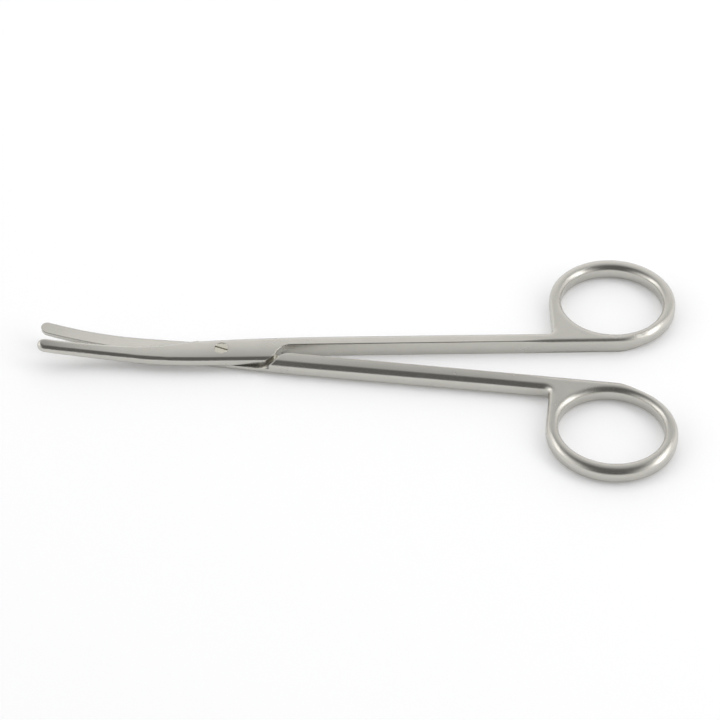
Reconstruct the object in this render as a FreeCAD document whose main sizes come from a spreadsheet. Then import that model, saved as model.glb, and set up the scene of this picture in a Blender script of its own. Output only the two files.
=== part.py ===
import FreeCAD, Part
import Sketcher
import math
import os

# Curved dissecting scissors with ring handles: two forged steel halves crossing at one slotted screw.
# Origin on the screw's axis in the plane the instrument lies on. +X runs towards the rings,
# the blades point to -X and curve up to +Z. The pair lies open by the angle opening_at_rest.

doc = FreeCAD.newDocument("DissectingScissors")

# Sizes in millimetres and degrees
values = {
    # screw axis to the tips, and how far the blades climb there
    "blade_length": 41.15,
    "bend_start": 12.0,
    "tip_rise": 3.6,
    "tip_thickness": 1.3,
    "tip_width": 3.25,
    "tip_back": 1.75,
    "edge_waist": 1.2,
    "edge_waist_x": 22.0,
    "flare_start": 4.8,
    "flare_half_width": 3.0,
    "back_run_out": 3.0,
    "tip_run": 36.0,
    # the flat joint where the halves lap at half thickness
    "stock_height": 3.9,
    "lap_height": 1.95,
    "top_joint_back": 3.6,
    "bottom_joint_back": 2.95,
    "face_gap": 0.04,
    "step_start": 8.9,
    "step_end": 15.6,
    "step_run_in": 0.12,
    "shoulder_start": 10.1,
    "shoulder_end": 15.8,
    "shoulder_run_in": 0.15,
    # the handles
    "closing_line": 0.68,
    "closed_gap": 0.36,
    "shank_start": 26.0,
    "top_shank_front": 3.05,
    "top_shank_back": 3.05,
    "bottom_shank_front": 3.8,
    "bottom_shank_back": 3.4,
    "top_ring_x": 89.4,
    "bottom_ring_x": 88.6,
    "ring_length": 28.95,
    "ring_depth": 26.85,
    # metal round the finger hole: towards the joint, at the far end, at the closing line, and outside
    "front_bar": 2.65,
    "end_bar": 2.95,
    "inner_bar": 2.4,
    "outer_bar": 3.25,
    # roundings
    "root_radius": 1.4,
    "outer_round": 1.35,
    "hole_round": 1.1,
    "edge_break": 0.1,
    "round_fade": 6.5,
    "joint_back_round": 0.85,
    "blade_round": 0.8,
    # the pivot screw
    "head_diameter": 3.06,
    "head_rim": 0.35,
    "screw_diameter": 2.0,
    "head_inset": 0.03,
    "pivot_clearance": 0.03,
    "thread_clearance": 0.01,
    "slot_width": 0.38,
    "slot_depth": 0.5,
    "slot_angle": -19.0,
    # the pose
    "opening_at_rest": 8.3,
}

sheet = doc.addObject("Spreadsheet::Sheet", "Sizes")
for row, (alias, value) in enumerate(values.items(), start=1):
    sheet.set("A%d" % row, alias)
    sheet.set("B%d" % row, str(value))
    sheet.setAlias("B%d" % row, alias)
doc.recompute()


class Size:
    """A length that carries its number and the sheet formula it comes from."""

    def __init__(self, number, formula):
        self.number = float(number)
        self.formula = formula

    def __add__(self, other):
        other = as_size(other)
        return Size(self.number + other.number, "(%s + %s)" % (self.formula, other.formula))

    def __sub__(self, other):
        other = as_size(other)
        return Size(self.number - other.number, "(%s - %s)" % (self.formula, other.formula))

    def __mul__(self, other):
        other = as_size(other)
        return Size(self.number * other.number, "(%s * %s)" % (self.formula, other.formula))

    def __truediv__(self, other):
        other = as_size(other)
        return Size(self.number / other.number, "(%s / %s)" % (self.formula, other.formula))

    def __neg__(self):
        return Size(-self.number, "(-1 * %s)" % self.formula)


def as_size(value):
    if isinstance(value, Size):
        return value
    return Size(value, repr(float(value)))


def cell(alias):
    """The named cell of the sheet as a Size."""
    return Size(sheet.get(alias), "Sizes." + alias)


def origin_plane(body, role):
    for feature in body.Origin.OriginFeatures:
        if feature.Role == role:
            return feature


def new_sketch(body, name, role, offset=None):
    sketch = body.newObject("Sketcher::SketchObject", name)
    sketch.AttachmentSupport = [(origin_plane(body, role), "")]
    sketch.MapMode = "FlatFace"
    if offset is not None:
        sketch.setExpression("AttachmentOffset.Base.z", offset.formula)
    return sketch


class Outline:
    """Draws a closed sketch whose corners are held by named sizes."""

    def __init__(self, sketch):
        self.sketch = sketch
        self.count = 0

    def dimension(self, kind, ends, size):
        """Adds one driving dimension and binds it to its formula."""
        self.count += 1
        index = self.sketch.addConstraint(Sketcher.Constraint(kind, *ends, size.number))
        name = "%s_%d" % (kind, self.count)
        self.sketch.renameConstraint(index, name)
        self.sketch.setExpression("Constraints." + name, size.formula)

    def pin(self, curve, end, x=None, y=None):
        if x is not None:
            self.dimension("DistanceX", (-1, 1, curve, end), as_size(x))
        if y is not None:
            self.dimension("DistanceY", (-1, 1, curve, end), as_size(y))

    def add(self, constraint, *ends):
        self.sketch.addConstraint(Sketcher.Constraint(constraint, *ends))

    def line(self, start, end):
        return self.sketch.addGeometry(Part.LineSegment(flat_point(start), flat_point(end)), False)

    def arc(self, start, end, centre, left):
        """An arc from start to end; left means it turns left. Returns its index and its two end numbers."""
        first, last = flat_point(start), flat_point(end)
        middle = flat_point(centre)
        if not left:
            first, last = last, first
        begin = math.atan2(first.y - middle.y, first.x - middle.x)
        finish = math.atan2(last.y - middle.y, last.x - middle.x)
        while finish <= begin:
            finish += 2 * math.pi
        circle = Part.Circle(middle, FreeCAD.Vector(0, 0, 1), first.distanceToPoint(middle))
        index = self.sketch.addGeometry(Part.ArcOfCircle(circle, begin, finish), False)
        return (index, 1, 2) if left else (index, 2, 1)

    def polygon(self, corners):
        """A closed run of straight sides with every corner pinned."""
        sides = []
        for number, corner in enumerate(corners):
            sides.append(self.line(corner, corners[(number + 1) % len(corners)]))
        for number, side in enumerate(sides):
            self.add("Coincident", side, 2, sides[(number + 1) % len(sides)], 1)
            self.pin(side, 1, corners[number][0], corners[number][1])


def flat_point(pair):
    return FreeCAD.Vector(as_size(pair[0]).number, as_size(pair[1]).number, 0)


blade_length = cell("blade_length")
bend_start = cell("bend_start")
stock_height = cell("stock_height")
lap_height = cell("lap_height")
half_gap = cell("face_gap") / 2
shank_start = cell("shank_start")
step_end = cell("step_end")
ring_length = cell("ring_length")
ring_depth = cell("ring_depth")
# the solid is first cut from a taller blank, and tools run past the metal by this much
overrun = as_size(2.0)
blank_height = stock_height + cell("tip_rise") + cell("tip_thickness")
reach = blade_length + overrun
block_end = step_end + 0.6


def bend_arc(outline, start_height, tip_height):
    """The arc of a blade face in the vertical plane, level at bend_start and at tip_height at the tip."""
    rise = tip_height.number - start_height.number
    run = blade_length.number - bend_start.number
    radius = (run * run + rise * rise) / (2 * rise)
    run_out = reach.number - bend_start.number
    end_height = start_height.number + radius - math.sqrt(radius * radius - run_out * run_out)
    start = (-bend_start, start_height)
    end = (-reach, end_height)
    curve, first, last = outline.arc(start, end, (-bend_start.number, start_height.number + radius), False)
    tip = outline.sketch.addGeometry(Part.Point(flat_point((-blade_length, tip_height))), True)
    outline.pin(tip, 1, -blade_length, tip_height)
    outline.pin(curve, first, -bend_start, start_height)
    outline.add("Vertical", curve, first, curve, 3)
    outline.add("PointOnObject", tip, 1, curve)
    outline.pin(curve, last, -reach)
    return curve, first, last, end_height


def bend_groove(body, name, start_height, tip_height, clear_height, inside):
    """Turns away the metal between a curved blade face and clear_height, all round the screw axis."""
    sketch = new_sketch(body, name + "Profile", "XZ_Plane")
    outline = Outline(sketch)
    curve, first, last, end_height = bend_arc(outline, start_height, tip_height)
    floor = outline.line((-inside, start_height), (-bend_start, start_height))
    inner = outline.line((-inside, clear_height), (-inside, start_height))
    roof = outline.line((-reach, clear_height), (-inside, clear_height))
    outer = outline.line((-reach, end_height), (-reach, clear_height))
    outline.add("Coincident", curve, last, outer, 1)
    outline.add("Coincident", outer, 2, roof, 1)
    outline.add("Coincident", roof, 2, inner, 1)
    outline.add("Coincident", inner, 2, floor, 1)
    outline.add("Coincident", floor, 2, curve, first)
    outline.pin(inner, 1, -inside, clear_height)
    outline.pin(inner, 2, -inside, start_height)
    outline.pin(roof, 1, -reach, clear_height)
    groove = body.newObject("PartDesign::Groove", name)
    groove.Profile = sketch
    groove.ReferenceAxis = (sketch, ["V_Axis"])
    groove.Midplane = True
    groove.Angle = 170.0
    body.Tip = groove
    doc.recompute()
    return groove


def upward_pocket(body, name, sketch, depth):
    """Cuts upward from the sketch by the depth."""
    pocket = body.newObject("PartDesign::Pocket", name)
    pocket.Profile = sketch
    pocket.Reversed = True
    pocket.setExpression("Length", depth.formula)
    pocket.Length = depth.number
    body.Tip = pocket
    doc.recompute()
    return pocket


def oval_curve(centre, length, depth):
    """An oval that is length along X and depth along Y, and the turn of its own long axis from X."""
    if length.number >= depth.number:
        return Part.Ellipse(centre, length.number / 2, depth.number / 2), 0.0
    tall_end = centre + FreeCAD.Vector(0, depth.number / 2, 0)
    side_end = centre - FreeCAD.Vector(length.number / 2, 0, 0)
    return Part.Ellipse(tall_end, side_end, centre), math.pi / 2


def hold_oval(outline, curve, turn, centre, length, depth):
    """Fixes an oval's centre, direction and both widths."""
    axis = outline.sketch.GeometryCount
    outline.sketch.exposeInternalGeometry(curve)
    outline.pin(curve, 3, *centre)
    outline.add("Vertical" if turn else "Horizontal", axis)
    outline.dimension("Distance", (axis,), depth if turn else length)
    outline.dimension("Distance", (axis + 1,), length if turn else depth)


def draw_half(sketch, side, inner, front_width, back_width, joint_back, ring_x):
    """The plan of one half, blade to ring. side is +1 where the ring lies to +Y, -1 where it lies to -Y."""
    outline = Outline(sketch)
    left = side > 0
    half_length = ring_length / 2
    half_depth = ring_depth / 2
    ring_y = (inner + half_depth) * side
    ring_front = ring_x - half_length
    tip_radius = cell("tip_width") / 2
    tip_back = cell("tip_back")
    tip_run = cell("tip_run")

    def at(x, y):
        return (as_size(x), as_size(y) * side)

    # straight back of the joint, to the block that the step is cut from
    back_start = at(-cell("back_run_out"), -joint_back)
    back_end = at(block_end, -joint_back)
    block_top = at(block_end, inner)
    back = outline.line(back_start, back_end)
    block = outline.line(back_end, block_top)
    outline.add("Coincident", back, 2, block, 1)
    outline.pin(back, 1, *back_start)
    outline.pin(back, 2, *back_end)

    # flat inner side of the shank, tangent to the ring
    ring_low = at(ring_x, inner)
    flat = outline.line(block_top, ring_low)
    outline.add("Coincident", block, 2, flat, 1)
    outline.pin(flat, 1, *block_top)
    outline.pin(flat, 2, *ring_low)

    # the ring's outside as two arcs of one oval, split where the rounding has grown to its full size
    fade_x = ring_x + cell("round_fade")
    oval, turn = oval_curve(flat_point((ring_x, ring_y)), ring_length, ring_depth)
    fade = math.acos(cell("round_fade").number / half_length.number)
    if left:
        spans = [(1.5 * math.pi, 2 * math.pi - fade), (2 * math.pi - fade, 3 * math.pi)]
        near, far = 1, 2
    else:
        spans = [(fade, 0.5 * math.pi), (math.pi, 2 * math.pi + fade)]
        near, far = 2, 1
    arcs = []
    for begin, finish in spans:
        arc = sketch.addGeometry(Part.ArcOfEllipse(oval, begin - turn, finish - turn), False)
        hold_oval(outline, arc, turn, (ring_x, ring_y), ring_length, ring_depth)
        arcs.append(arc)
    outline.pin(arcs[0], near, ring_x)
    outline.pin(arcs[0], far, fade_x)
    outline.pin(arcs[1], near, fade_x)
    outline.pin(arcs[1], far, None, ring_y)

    # front of the ring, straight down to the shank, then the shank's outer side
    root = at(ring_front, inner + back_width)
    shank_front = at(shank_start, inner + front_width)
    wall = outline.line((ring_front, ring_y), root)
    shank = outline.line(root, shank_front)
    outline.add("Coincident", arcs[1], far, wall, 1)
    outline.add("Coincident", wall, 2, shank, 1)
    outline.pin(wall, 2, *root)
    outline.pin(shank, 2, *shank_front)

    # the shank narrows into the joint
    flare = at(-cell("flare_start"), cell("flare_half_width"))
    run = shank_front[0].number - flare[0].number
    drop = (shank_front[1].number - flare[1].number) * side
    radius = (run * run + drop * drop) / (2 * drop)
    middle = (shank_front[0].number, shank_front[1].number - side * radius)
    taper, first, last = outline.arc(shank_front, flare, middle, left)
    outline.add("Tangent", shank, 2, taper, first)
    outline.pin(taper, last, *flare)

    # the cutting side: a hollow flare from the joint, then straight to the round tip
    waist = at(-cell("edge_waist_x"), cell("edge_waist"))
    tip_centre = at(-blade_length + tip_radius, tip_radius - tip_back)
    span = flat_point(waist) - flat_point(tip_centre)
    turn = math.atan2(span.y, span.x) + side * math.acos(tip_radius.number / span.Length)
    tip_x = tip_centre[0].number + tip_radius.number * math.cos(turn)
    tip_y = tip_centre[1].number + tip_radius.number * math.sin(turn)
    edge = outline.line(waist, (tip_x, tip_y))
    slope = math.atan2(waist[1].number - tip_y, waist[0].number - tip_x)
    middle = hollow_centre(waist, flare, slope, side)
    hollow, first, last = outline.arc(flare, waist, middle, not left)
    outline.add("Coincident", taper, 2 if left else 1, hollow, first)
    outline.add("Tangent", hollow, last, edge, 1)
    outline.pin(edge, 1, *waist)

    # the blunt round tip
    tip_start = at(-blade_length + tip_radius, -tip_back)
    tip, first, last = outline.arc((tip_x, tip_y), tip_start, tip_centre, left)
    outline.add("Tangent", edge, 2, tip, first)
    outline.pin(tip, last, *tip_start)
    outline.add("Vertical", tip, last, tip, 3)
    outline.dimension("Radius", (tip,), tip_radius)

    # the blade's back: a short straight, then an easy double curve that widens into the joint
    back_tip = at(-tip_run, -tip_back)
    straight = outline.line(tip_start, back_tip)
    outline.add("Coincident", tip, last, straight, 1)
    outline.pin(straight, 2, *back_tip)
    double_curve(outline, back_tip, back_start, side, (straight, 2), (back, 1), first_left=not left)
    doc.recompute()


def hollow_centre(waist, flare, slope, side):
    """Centre of the arc through flare that leaves waist along the slope."""
    normal = FreeCAD.Vector(-math.sin(slope), math.cos(slope), 0) * side
    span = flat_point(flare) - flat_point(waist)
    radius = span.dot(span) / (2 * span.dot(normal))
    centre = flat_point(waist) + normal * radius
    return (centre.x, centre.y)


def double_curve(outline, start, end, side, before, after, first_left):
    """Two equal arcs, level at both ends, that shift the line sideways from start to end."""
    run = end[0].number - start[0].number
    shift = end[1].number - start[1].number
    turn = 2 * math.atan2(abs(shift), abs(run))
    radius = abs(run) / (2 * math.sin(turn))
    direction = 1 if first_left else -1
    middle = ((start[0].number + end[0].number) / 2, (start[1].number + end[1].number) / 2)
    centre_one = (start[0].number, start[1].number + direction * radius)
    centre_two = (end[0].number, end[1].number - direction * radius)
    one, one_first, one_last = outline.arc(start, middle, centre_one, first_left)
    two, two_first, two_last = outline.arc(middle, end, centre_two, not first_left)
    outline.add("Tangent", one, one_last, two, two_first)
    outline.add("Equal", one, two)
    outline.add("Vertical", one, one_first, one, 3)
    outline.add("Vertical", two, two_last, two, 3)
    outline.add("Coincident", before[0], before[1], one, one_first)
    outline.add("Coincident", after[0], after[1], two, two_last)


def edges_where(shape, accept):
    """Numbers of the edges whose ends and middle all satisfy accept."""
    chosen = []
    for number, edge in enumerate(shape.Edges, start=1):
        span = edge.LastParameter - edge.FirstParameter
        points = [edge.valueAt(edge.FirstParameter + span * part) for part in (0.0, 0.5, 1.0)]
        if all(accept(point) for point in points):
            chosen.append(number)
    return chosen


def edge_ends(edge):
    return edge.valueAt(edge.FirstParameter), edge.valueAt(edge.LastParameter)


def round_edges(base, name, picks):
    """Rounds the picked edges of base; each pick is an edge's number and its radii at start and end."""
    feature = doc.addObject("Part::Fillet", name)
    feature.Base = base
    feature.Edges = picks
    doc.recompute()
    return feature


def close_to(a, b):
    return abs(a - b) < 0.001


def half(name, side, upper):
    """One forged half. upper is True for the half that the screw head sits in."""
    inner = cell("closing_line") * side + cell("closed_gap") / 2
    prefix = "top" if upper else "bottom"
    ring_x = cell(prefix + "_ring_x")
    front_width = cell(prefix + "_shank_front")
    back_width = cell(prefix + "_shank_back")
    joint_back = cell(prefix + "_joint_back")

    # blank: the whole plan in full height, levelled over the handle, curved over or under the blade
    blank = doc.addObject("PartDesign::Body", name + "_blank")
    plan = new_sketch(blank, name + "_plan", "XY_Plane")
    draw_half(plan, side, inner, front_width, back_width, joint_back, ring_x)
    pad = blank.newObject("PartDesign::Pad", name + "_pad")
    pad.Profile = plan
    pad.setExpression("Length", blank_height.formula)
    doc.recompute()

    level = new_sketch(blank, name + "_level_plan", "XY_Plane", stock_height)
    wide = ring_depth + joint_back
    far_end = ring_x + ring_length
    Outline(level).polygon([(-1.0, -wide), (far_end, -wide), (far_end, wide), (-1.0, wide)])
    upward_pocket(blank, name + "_level", level, blank_height)

    if upper:
        # waste under the blade goes first, so that the lower rounding ends at the joint
        waste = new_sketch(blank, name + "_waste_plan", "XY_Plane")
        Outline(waste).polygon([(-reach, -wide), (-1.0, -wide), (-1.0, wide), (-reach, wide)])
        upward_pocket(blank, name + "_waste", waste, lap_height / 2)
        tip_height = lap_height + cell("tip_rise") + cell("tip_thickness")
        bend_groove(blank, name + "_bend", stock_height, tip_height, blank_height + overrun, as_size(0.5))
    else:
        tip_height = lap_height + cell("tip_rise") - cell("tip_thickness")
        bend_groove(blank, name + "_bend", as_size(0.0), tip_height, -overrun, bend_start - 1)

    # the finger hole
    hole_plan = new_sketch(blank, name + "_hole_plan", "XY_Plane")
    hole_outline = Outline(hole_plan)
    hole_length = ring_length - cell("front_bar") - cell("end_bar")
    hole_depth = ring_depth - cell("inner_bar") - cell("outer_bar")
    hole_x = ring_x - ring_length / 2 + cell("front_bar") + hole_length / 2
    hole_y = (inner + cell("inner_bar") + hole_depth / 2) * side
    oval, turn = oval_curve(flat_point((hole_x, hole_y)), hole_length, hole_depth)
    hole_edge = hole_plan.addGeometry(oval, False)
    hold_oval(hole_outline, hole_edge, turn, (hole_x, hole_y), hole_length, hole_depth)
    doc.recompute()
    hole = upward_pocket(blank, name + "_hole", hole_plan, blank_height)

    # the inside corner where the ring's front meets the shank
    root_x = (ring_x - ring_length / 2).number
    root_y = (inner + back_width).number * side
    corner = edges_where(blank.Shape, lambda p: close_to(p.x, root_x) and close_to(p.y, root_y))
    root = blank.newObject("PartDesign::Fillet", name + "_root")
    root.Base = (hole, ["Edge%d" % number for number in corner])
    root.setExpression("Radius", cell("root_radius").formula)
    blank.Tip = root
    doc.recompute()

    # roundings of ring and shank: they grow from a mere edge break on the flat inner side to the full round
    height = stock_height.number
    low_x = ring_x.number
    fade_x = low_x + cell("round_fade").number
    hole_low = (inner + cell("inner_bar")).number
    rounded = blank
    for level_name, level_z in (("lower", 0.0), ("upper", height)):
        def on_fade(p):
            return close_to(p.z, level_z) and low_x - 0.001 < p.x < fade_x + 0.001 and side * p.y < hole_low
        picks = []
        for number in edges_where(rounded.Shape, on_fade):
            start, finish = edge_ends(rounded.Shape.Edges[number - 1])
            small, large = cell("edge_break").number, cell("outer_round").number
            picks.append((number, small, large) if start.x < finish.x else (number, large, small))
        rounded = round_edges(rounded, "%s_%s_round" % (name, level_name), picks)

    # finger hole: rounded on both faces
    picks = []
    for number, edge in enumerate(rounded.Shape.Edges, start=1):
        if edge.isClosed():
            picks.append((number, cell("hole_round").number, cell("hole_round").number))
    rounded = round_edges(rounded, name + "_hole_round", picks)

    # blade: the rounding eases along the back, goes round the tip and returns along the cutting side
    back_z = height if upper else 0.0
    back_x = -cell("back_run_out").number
    picks = []
    for number in edges_where(rounded.Shape, lambda p: p.x < back_x + 0.001 and side * p.y < 0):
        edge = rounded.Shape.Edges[number - 1]
        start, finish = edge_ends(edge)
        wide_end, tip_end = cell("joint_back_round").number, cell("blade_round").number
        if close_to(start.x, back_x) and close_to(start.z, back_z) and edge.BoundBox.XLength > 1:
            picks.append((number, wide_end, tip_end))
        elif close_to(finish.x, back_x) and close_to(finish.z, back_z) and edge.BoundBox.XLength > 1:
            picks.append((number, tip_end, wide_end))
    rounded = round_edges(rounded, name + "_back_round", picks)

    # the finished half: step, lap and curved mating face are cut from the rounded blank
    body = doc.addObject("PartDesign::Body", name)
    body.Label = name
    body.BaseFeature = rounded
    doc.recompute()

    step_plan = new_sketch(body, name + "_step_plan", "XY_Plane")
    outline = Outline(step_plan)
    step_start = (cell("step_start"), (joint_back + cell("step_run_in")) * -side)
    step_stop = (step_end, inner * side)
    clear_y = (joint_back * 3) * -side
    corner_one = (block_end + overrun, inner * side)
    corner_two = (block_end + overrun, clear_y)
    corner_three = (cell("step_start"), clear_y)
    along = outline.line(step_stop, corner_one)
    down = outline.line(corner_one, corner_two)
    under = outline.line(corner_two, corner_three)
    up = outline.line(corner_three, step_start)
    outline.add("Coincident", along, 2, down, 1)
    outline.add("Coincident", down, 2, under, 1)
    outline.add("Coincident", under, 2, up, 1)
    outline.pin(along, 1, *step_stop)
    outline.pin(down, 1, *corner_one)
    outline.pin(under, 1, *corner_two)
    outline.pin(up, 1, *corner_three)
    outline.pin(up, 2, *step_start)
    double_curve(outline, step_start, step_stop, side, (up, 2), (along, 1), first_left=side > 0)
    doc.recompute()
    upward_pocket(body, name + "_step", step_plan, blank_height)

    mating = lap_height + half_gap if upper else lap_height - half_gap
    base = as_size(0.0) if upper else mating
    depth = mating if upper else blank_height
    lap_plan = new_sketch(body, name + "_lap_plan", "XY_Plane", base)
    outline = Outline(lap_plan)
    shoulder_foot = (cell("shoulder_start"), (inner + front_width + cell("shoulder_run_in")) * side)
    shoulder_top = (cell("shoulder_end"), inner * side)
    clear_side = (joint_back * 4) * side
    lap_front = -(bend_start - 3)
    lap_one = (cell("shoulder_start"), clear_side)
    lap_two = (lap_front, clear_side)
    lap_three = (lap_front, -clear_side)
    lap_four = (cell("shoulder_end"), -clear_side)
    one = outline.line(lap_one, shoulder_foot)
    two = outline.line(lap_two, lap_one)
    three = outline.line(lap_three, lap_two)
    four = outline.line(lap_four, lap_three)
    five = outline.line(shoulder_top, lap_four)
    outline.add("Coincident", five, 2, four, 1)
    outline.add("Coincident", four, 2, three, 1)
    outline.add("Coincident", three, 2, two, 1)
    outline.add("Coincident", two, 2, one, 1)
    outline.pin(five, 1, *shoulder_top)
    outline.pin(four, 1, *lap_four)
    outline.pin(three, 1, *lap_three)
    outline.pin(two, 1, *lap_two)
    outline.pin(one, 1, *lap_one)
    outline.pin(one, 2, *shoulder_foot)
    double_curve(outline, shoulder_foot, shoulder_top, side, (one, 2), (five, 1), first_left=side < 0)
    doc.recompute()
    upward_pocket(body, name + "_lap", lap_plan, depth)

    mating_tip = mating + cell("tip_rise")
    clear_height = -overrun if upper else blank_height + overrun
    bend_groove(body, name + "_mating", mating, mating_tip, clear_height, bend_start / 2)

    # the screw's hole
    screw_radius = cell("screw_diameter") / 2
    seat = new_sketch(body, name + "_seat_profile", "XZ_Plane")
    if upper:
        clearance = cell("pivot_clearance")
        head_radius = cell("head_diameter") / 2 + clearance
        bore = screw_radius + clearance
        rim_z = stock_height - cell("head_rim") - clearance
        cone_z = rim_z - (head_radius - bore)
        Outline(seat).polygon([(0.0, 0.0), (bore, 0.0), (bore, cone_z), (head_radius, rim_z),
                               (head_radius, stock_height + overrun), (0.0, stock_height + overrun)])
    else:
        bore = screw_radius + cell("thread_clearance")
        Outline(seat).polygon([(0.0, -overrun), (bore, -overrun), (bore, blank_height), (0.0, blank_height)])
    doc.recompute()
    turned = body.newObject("PartDesign::Groove", name + "_seat")
    turned.Profile = seat
    turned.ReferenceAxis = (seat, ["V_Axis"])
    turned.Angle = 360.0
    body.Tip = turned
    body.setExpression("Placement.Rotation.Angle", "Sizes.opening_at_rest / 2")
    body.Placement.Rotation.Axis = FreeCAD.Vector(0, 0, side)
    doc.recompute()
    return body


top_half = half("top_half", 1, True)
bottom_half = half("bottom_half", -1, False)

# Pivot screw: a turned pin, ground off flush underneath, with a countersunk slotted head just below the top face
pivot_screw = doc.addObject("PartDesign::Body", "pivot_screw")
pivot_screw.Label = "pivot_screw"
profile = new_sketch(pivot_screw, "screw_profile", "XZ_Plane")
pin_radius = cell("screw_diameter") / 2
rim_radius = cell("head_diameter") / 2
head_inset = cell("head_inset")
rim_height = stock_height - cell("head_rim")
cone_height = rim_height - (rim_radius - pin_radius)
Outline(profile).polygon([(0.0, 0.0), (pin_radius, 0.0), (pin_radius, cone_height), (rim_radius, rim_height),
                          (rim_radius, stock_height - head_inset), (0.0, stock_height - head_inset)])
turned_pin = pivot_screw.newObject("PartDesign::Revolution", "screw_turning")
turned_pin.Profile = profile
turned_pin.ReferenceAxis = (profile, ["V_Axis"])
turned_pin.Angle = 360.0
doc.recompute()
slot_plan = new_sketch(pivot_screw, "slot_plan", "XY_Plane", stock_height - cell("slot_depth"))
half_slot = cell("slot_width") / 2
Outline(slot_plan).polygon([(-rim_radius - 1, -half_slot), (rim_radius + 1, -half_slot),
                            (rim_radius + 1, half_slot), (-rim_radius - 1, half_slot)])
upward_pocket(pivot_screw, "slot", slot_plan, cell("slot_depth") + 1)
pivot_screw.Placement.Rotation.Axis = FreeCAD.Vector(0, 0, 1)
pivot_screw.setExpression("Placement.Rotation.Angle", "Sizes.slot_angle")
doc.recompute()

# Check everything before anything is written
parts = [top_half, bottom_half, pivot_screw]
problems = []
for item in doc.Objects:
    if "Invalid" in item.State or "Error" in item.State:
        problems.append("%s is %s" % (item.Label, item.State))
for part in parts:
    if part.Shape.isNull() or not part.Shape.isValid():
        problems.append("%s has no valid shape" % part.Label)
    elif len(part.Shape.Solids) != 1:
        problems.append("%s has %d solids" % (part.Label, len(part.Shape.Solids)))
if problems:
    raise RuntimeError("; ".join(problems))

os.makedirs("parts", exist_ok=True)
for part in parts:
    part.Shape.exportStep("parts/%s.step" % part.Label)
    box = part.Shape.BoundBox
    print("%s: volume %.1f, x %.2f to %.2f, y %.2f to %.2f, z %.2f to %.2f" % (
        part.Label, part.Shape.Volume, box.XMin, box.XMax, box.YMin, box.YMax, box.ZMin, box.ZMax))
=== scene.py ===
import math

import bpy
from mathutils import Matrix, Vector

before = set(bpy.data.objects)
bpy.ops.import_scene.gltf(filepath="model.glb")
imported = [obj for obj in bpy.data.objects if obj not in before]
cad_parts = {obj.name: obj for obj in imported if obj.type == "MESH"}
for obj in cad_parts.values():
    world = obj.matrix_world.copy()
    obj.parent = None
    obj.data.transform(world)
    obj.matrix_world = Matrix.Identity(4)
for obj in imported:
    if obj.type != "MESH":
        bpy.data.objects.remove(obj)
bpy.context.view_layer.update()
scene = bpy.context.scene
scene.view_settings.view_transform = "Standard"


# The upper half
# One forging of hardened stainless steel, from blunt tip to finger ring. Its faces are ground, its
# edges rolled round and all of it satin finished on a soft wheel. Its joint turns on the screw.

def linear(hex_colour):
    """An sRGB hex colour as the linear RGBA that shaders take."""
    channels = [int(hex_colour[i:i + 2], 16) / 255 for i in (1, 3, 5)]
    return tuple(c / 12.92 if c <= 0.04045 else ((c + 0.055) / 1.055) ** 2.4 for c in channels) + (1.0,)


def add_node(tree, kind, settings=None, **sockets):
    """Adds a node; settings are its properties, and each socket takes a value or another node's output.

    A socket goes by its name, or where several share a name by i and its number.
    """
    node = tree.nodes.new(kind)
    for key, value in (settings or {}).items():
        setattr(node, key, value)
    for key, value in sockets.items():
        numbered = key[0] == "i" and key[1:].isdigit()
        socket = node.inputs[int(key[1:]) if numbered else key.replace("_", " ")]
        if isinstance(value, bpy.types.NodeSocket):
            tree.links.new(value, socket)
        else:
            socket.default_value = value
    return node


def bare_steel(name):
    """A steel still without its finish, and the place on the piece that its forms are drawn by."""
    steel = bpy.data.materials.new(name)
    steel.use_nodes = True
    steel.node_tree.nodes.clear()
    return steel, add_node(steel.node_tree, "ShaderNodeTexCoord").outputs["Object"]


def satin_finish(tree, place, face, pale, dull, roughness):
    """The soft wheel's finish on a face, given by its normal: a fine grain under a faint cloudiness."""
    # the wheel dwells here and there, which leaves patches of 5.5 mm a little duller
    patch = 0.0055
    # its scratches are about 0.05 mm apart, too fine to show, so the grain is drawn at 0.4 mm
    scratch, scratch_depth, scratch_strength = 0.0004, 0.00002, 0.12
    # nearly all of the noise lies between these two, and the roughness follows it by this much
    noise_low, noise_high, rougher = 0.3, 0.7, 0.03
    cloud = add_node(tree, "ShaderNodeTexNoise", Vector=place, Scale=1 / patch, Detail=3.0, Roughness=0.6)
    grain = add_node(tree, "ShaderNodeTexNoise", Vector=place, Scale=1 / scratch, Detail=2.0, Roughness=0.6)
    tint = add_node(tree, "ShaderNodeMix", {"data_type": "RGBA"}, i0=cloud.outputs["Fac"], i6=linear(pale),
                    i7=linear(dull))
    gloss = add_node(tree, "ShaderNodeMapRange", Value=cloud.outputs["Fac"], From_Min=noise_low,
                     From_Max=noise_high, To_Min=roughness - rougher, To_Max=roughness + rougher)
    bump = add_node(tree, "ShaderNodeBump", Strength=scratch_strength, Distance=scratch_depth,
                    Height=grain.outputs["Fac"], Normal=face)
    steel = add_node(tree, "ShaderNodeBsdfPrincipled", Metallic=1.0, Base_Color=tint.outputs[2],
                     Roughness=gloss.outputs["Result"], Normal=bump.outputs["Normal"])
    add_node(tree, "ShaderNodeOutputMaterial", Surface=steel.outputs["BSDF"])


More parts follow.
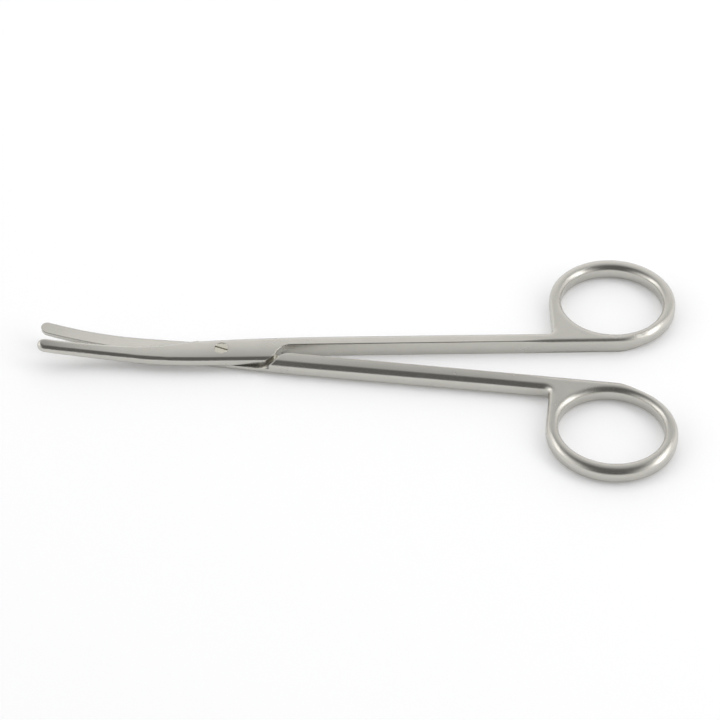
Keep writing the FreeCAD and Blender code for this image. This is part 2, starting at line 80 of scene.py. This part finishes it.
def shank_crown(tree, along, across):
    """Grinding crowns the shank's face: it falls away on both sides of the closing line."""
    crown_drop, crown_reach = 0.00062, 0.0075
    # the crown runs out where the shank widens into its ring
    fade_start, fade_end = 0.060, 0.074
    drop = add_node(tree, "ShaderNodeMapRange", {"interpolation_type": "SMOOTHSTEP"}, Value=along,
                    From_Min=fade_start, From_Max=fade_end, To_Min=-crown_drop, To_Max=0.0)
    distance = add_node(tree, "ShaderNodeMath", {"operation": "ABSOLUTE"}, i0=across)
    crown = add_node(tree, "ShaderNodeMapRange", {"interpolation_type": "SMOOTHSTEP"},
                     Value=distance.outputs[0], From_Max=crown_reach, To_Max=drop.outputs[0])
    return crown.outputs["Result"]


def ground_and_rolled(tree, along, height):
    """The normal of a half's faces as they are ground, with its edges rolled, most at the ring."""
    rolled_edge, ring_edge = 0.0003, 0.0014
    ring_start, ring_end = 0.066, 0.076
    radius = add_node(tree, "ShaderNodeMapRange", {"interpolation_type": "SMOOTHSTEP"}, Value=along,
                      From_Min=ring_start, From_Max=ring_end, To_Min=rolled_edge, To_Max=ring_edge)
    edge = add_node(tree, "ShaderNodeBevel", {"samples": 12}, Radius=radius.outputs[0])
    ground = add_node(tree, "ShaderNodeBump", Strength=1.0, Distance=1.0, Height=height,
                      Normal=edge.outputs["Normal"])
    return ground.outputs["Normal"]


# Satin ground stainless steel: a pale grey, a little warm, that mirrors the tent in soft bands, bright
# where a face leans to a lamp and dark where it leans to the dim front.
pale_steel, dull_steel, steel_roughness = "#C9C7C0", "#C1BFB8", 0.25
top_steel, place = bare_steel("stainless_steel_satin_ground_top_half")
tree = top_steel.node_tree

# the pair lies open by 8.3 degrees, each half turned by half of it from the middle; along is measured
# from the screw to the rings, and across from this half's own closing line to its far side
opening = math.radians(8.3)
half_opening = opening / 2
far_side = (-math.sin(half_opening), math.cos(half_opening), 0.0)
along = add_node(tree, "ShaderNodeSeparateXYZ", Vector=place).outputs["X"]
across = add_node(tree, "ShaderNodeVectorMath", {"operation": "DOT_PRODUCT"}, i0=place,
                  i1=far_side).outputs["Value"]

# the back of the blade and joint is rounded about a ridge, which runs straight behind the screw and
# bends with the blade, where it lies 5.8 x^2 + 0.14 x + 0.0001 across at x along
ridge_bend, ridge_slant, ridge_shift = 5.8, 0.14, 0.0001
# it falls by 27 times the square of the distance from the ridge, a radius of 18.5 mm
back_fall = 27.0
blade = add_node(tree, "ShaderNodeMath", {"operation": "MINIMUM"}, i0=along, i1=0.0)
curve = add_node(tree, "ShaderNodeMath", {"operation": "MULTIPLY_ADD"}, i0=blade.outputs[0],
                 i1=-ridge_bend, i2=-ridge_slant)
bent = add_node(tree, "ShaderNodeMath", {"operation": "MULTIPLY_ADD"}, i0=blade.outputs[0],
                i1=curve.outputs[0], i2=across)
ridge = add_node(tree, "ShaderNodeMath", {"operation": "SUBTRACT"}, i0=bent.outputs[0], i1=ridge_shift)
square = add_node(tree, "ShaderNodeMath", {"operation": "MULTIPLY"}, i0=ridge.outputs[0],
                  i1=ridge.outputs[0])
rounded = add_node(tree, "ShaderNodeMath", {"operation": "MULTIPLY"}, i0=square.outputs[0], i1=-back_fall)

# behind the joint the rounding gives way to the shank's crown
top_shank_start, top_shank_end = 0.010, 0.015
shank = add_node(tree, "ShaderNodeMapRange", {"interpolation_type": "SMOOTHSTEP"}, Value=along,
                 From_Min=top_shank_start, From_Max=top_shank_end)
height = add_node(tree, "ShaderNodeMix", i0=shank.outputs[0], i2=rounded.outputs[0],
                  i3=shank_crown(tree, along, across))
top_face = ground_and_rolled(tree, along, height.outputs[0])
satin_finish(tree, place, top_face, pale_steel, dull_steel, steel_roughness)
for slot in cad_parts["top_half"].material_slots:
    slot.material = top_steel


# The lower half
# The same forging crossed the other way, of the same steel and from the same wheel. Its joint lies
# underneath and holds the screw, and its blade shows the flat inner face that cuts.

# Satin ground stainless steel: the same soft bands, and the flat blade one even pale tone.
bottom_steel, place = bare_steel("stainless_steel_satin_ground_bottom_half")
tree = bottom_steel.node_tree
far_side = (math.sin(half_opening), math.cos(half_opening), 0.0)
along = add_node(tree, "ShaderNodeSeparateXYZ", Vector=place).outputs["X"]
across = add_node(tree, "ShaderNodeVectorMath", {"operation": "DOT_PRODUCT"}, i0=place,
                  i1=far_side).outputs["Value"]

# the blade's inner face is ground flat, and falls to the far side by a slope that grows from the tip
# to the joint
blade_tip, blade_root = -0.042, -0.018
tip_slope, root_slope = -0.04, -0.17
twist = add_node(tree, "ShaderNodeMapRange", {"interpolation_type": "SMOOTHSTEP"}, Value=along,
                 From_Min=blade_tip, From_Max=blade_root, To_Min=tip_slope, To_Max=root_slope)
flat = add_node(tree, "ShaderNodeMath", {"operation": "MULTIPLY"}, i0=across, i1=twist.outputs[0])

# the shank's crowned face rises towards the other half, by a slope that grows behind the joint
lean_start, lean_end = 0.014, 0.032
start_slope, end_slope = 0.02, 0.07
lean = add_node(tree, "ShaderNodeMapRange", {"interpolation_type": "SMOOTHSTEP"}, Value=along,
                From_Min=lean_start, From_Max=lean_end, To_Min=start_slope, To_Max=end_slope)
crowned = add_node(tree, "ShaderNodeMath", {"operation": "MULTIPLY_ADD"}, i0=across, i1=lean.outputs[0],
                   i2=shank_crown(tree, along, across))

# behind the joint the blade's flat face gives way to the shank's crown
bottom_shank_start, bottom_shank_end = 0.008, 0.011
shank = add_node(tree, "ShaderNodeMapRange", {"interpolation_type": "SMOOTHSTEP"}, Value=along,
                 From_Min=bottom_shank_start, From_Max=bottom_shank_end)
height = add_node(tree, "ShaderNodeMix", i0=shank.outputs[0], i2=flat.outputs[0], i3=crowned.outputs[0])
bottom_face = ground_and_rolled(tree, along, height.outputs[0])
satin_finish(tree, place, bottom_face, pale_steel, dull_steel, steel_roughness)
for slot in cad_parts["bottom_half"].material_slots:
    slot.material = bottom_steel


# The pivot screw
# One turned and slotted screw of stainless steel, driven in from above. Its head is faced off flush
# with the joint after fitting.

# Faced stainless steel, gone over by the same wheel as the joint: it shows as a disc a little warmer
# and paler than the steel round it, with the slot across it.
screw_steel, place = bare_steel("stainless_steel_faced_screw")
screw_edge = 0.00012
edge = add_node(screw_steel.node_tree, "ShaderNodeBevel", {"samples": 12}, Radius=screw_edge)
satin_finish(screw_steel.node_tree, place, edge.outputs["Normal"], pale="#D6D3C6", dull="#CBC8BC",
             roughness=0.28)
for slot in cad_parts["pivot_screw"].material_slots:
    slot.material = screw_steel


# The table
# A plain white table, covered with one sheet of matt paper, that the scissors lie on. It isn't part
# of them.

table_size = 3.0
half = table_size / 2
corners = [(-half, -half, 0), (half, -half, 0), (half, half, 0), (-half, half, 0)]
mesh = bpy.data.meshes.new("table")
mesh.from_pydata(corners, [], [(0, 1, 2, 3)])
table = bpy.data.objects.new("table", mesh)
scene.collection.objects.link(table)

# Matt white paper: it has no gloss and keeps the scissors' soft shadow. It is lifted towards white
# where the camera or the polished steel looks at it.
paper = bpy.data.materials.new("white_paper_matt")
paper.use_nodes = True
tree = paper.node_tree
tree.nodes.clear()
paper_lift = 0.12
ray = add_node(tree, "ShaderNodeLightPath")
looked_at = add_node(tree, "ShaderNodeMath", {"operation": "MAXIMUM"}, i0=ray.outputs["Is Camera Ray"],
                     i1=ray.outputs["Is Glossy Ray"])
matt = add_node(tree, "ShaderNodeBsdfDiffuse", Color=linear("#F4F4F5"))
lift = add_node(tree, "ShaderNodeEmission", Color=linear("#FFFFFF"), Strength=paper_lift)
both = add_node(tree, "ShaderNodeAddShader", i0=matt.outputs[0], i1=lift.outputs[0])
choice = add_node(tree, "ShaderNodeMixShader", i0=looked_at.outputs[0], i1=matt.outputs[0],
                  i2=both.outputs[0])
add_node(tree, "ShaderNodeOutputMaterial", Surface=choice.outputs[0])
mesh.materials.append(paper)


# The lamps and the light tent
# A long softbox leans in from each side and a wide one hangs over the table. Round them is a tent of
# white cloth, whose back and side walls glow and whose top and front are dim.

def softbox(name, upper, lower, width, radiance):
    """A softbox from one point to another, its cloth of even radiance facing the scissors."""
    upper, lower = Vector(upper), Vector(lower)
    centre = (upper + lower) / 2
    down = (lower - upper).normalized()
    side = down.cross(centre).normalized()
    data = bpy.data.lights.new(name, "AREA")
    data.shape = "RECTANGLE"
    data.size = width
    data.size_y = (lower - upper).length
    # an even lamp gives its radiance times pi from each square metre
    data.energy = radiance * math.pi * data.size * data.size_y
    lamp = bpy.data.objects.new(name, data)
    scene.collection.objects.link(lamp)
    turned = Matrix((side, down, side.cross(down))).transposed().to_4x4()
    lamp.matrix_world = Matrix.Translation(centre) @ turned
    return lamp


softbox("right_softbox", upper=(0.42, 0.32, 0.80), lower=(0.90, -0.42, 0.26), width=0.24, radiance=1.9)
softbox("left_softbox", upper=(-0.42, 0.34, 0.82), lower=(-0.92, -0.30, 0.26), width=0.24, radiance=1.05)
ceiling = softbox("ceiling_light", upper=(0.03, 0.75, 0.85), lower=(0.03, -0.15, 1.05), width=1.0,
                  radiance=0.96)
# the paper feels the ceiling light, and the steel doesn't mirror it
ceiling.visible_glossy = False

world = bpy.data.worlds.new("light_tent")
scene.world = world
world.use_nodes = True
tree = world.node_tree
tree.nodes.clear()
# a wall brightens from its start to its full, both read along a direction of length 1
back_start, back_full = -0.1, 1.15
side_start, side_full, side_glow = 0.3, 0.85, 0.93
# what the dim cloth gives, and what a full wall adds to it
dim_cloth, lit_cloth = 0.15, 1.05
direction = add_node(tree, "ShaderNodeTexCoord").outputs["Generated"]
axes = add_node(tree, "ShaderNodeSeparateXYZ", Vector=direction)
sideways = add_node(tree, "ShaderNodeMath", {"operation": "ABSOLUTE"}, i0=axes.outputs["X"])
back = add_node(tree, "ShaderNodeMapRange", {"interpolation_type": "SMOOTHSTEP"}, Value=axes.outputs["Y"],
                From_Min=back_start, From_Max=back_full)
sides = add_node(tree, "ShaderNodeMapRange", {"interpolation_type": "SMOOTHSTEP"}, Value=sideways.outputs[0],
                 From_Min=side_start, From_Max=side_full, To_Max=side_glow)
wall = add_node(tree, "ShaderNodeMath", {"operation": "MAXIMUM"}, i0=back.outputs[0], i1=sides.outputs[0])
glow = add_node(tree, "ShaderNodeMath", {"operation": "MULTIPLY_ADD"}, i0=wall.outputs[0], i1=lit_cloth,
                i2=dim_cloth)
tent = add_node(tree, "ShaderNodeBackground", Color=linear("#FFFFFF"), Strength=glow.outputs[0])
# the camera sees plain white instead of the tent
backdrop = add_node(tree, "ShaderNodeBackground", Color=linear("#FFFFFF"), Strength=1.0)
ray = add_node(tree, "ShaderNodeLightPath")
choice = add_node(tree, "ShaderNodeMixShader", i0=ray.outputs["Is Camera Ray"], i1=tent.outputs[0],
                  i2=backdrop.outputs[0])
add_node(tree, "ShaderNodeOutputWorld", Surface=choice.outputs[0])


# The camera
# It stands before the scissors, 46 degrees above the table and 3.1 degrees round to the right, and
# looks at a point between the shanks.

camera_data = bpy.data.cameras.new("camera")
camera_data.sensor_width = 36.0
camera_data.lens = 125.0
camera = bpy.data.objects.new("camera", camera_data)
scene.collection.objects.link(camera)
elevation, azimuth, distance = math.radians(46.0), math.radians(3.1), 0.565
target = Vector((0.03114, 0.0017, 0))
outwards = Vector((math.sin(azimuth) * math.cos(elevation), -math.cos(azimuth) * math.cos(elevation),
                   math.sin(elevation)))
right = Vector((math.cos(azimuth), math.sin(azimuth), 0))
aimed = Matrix((right, outwards.cross(right), outwards)).transposed().to_4x4()
camera.matrix_world = Matrix.Translation(target + outwards * distance) @ aimed
scene.camera = camera
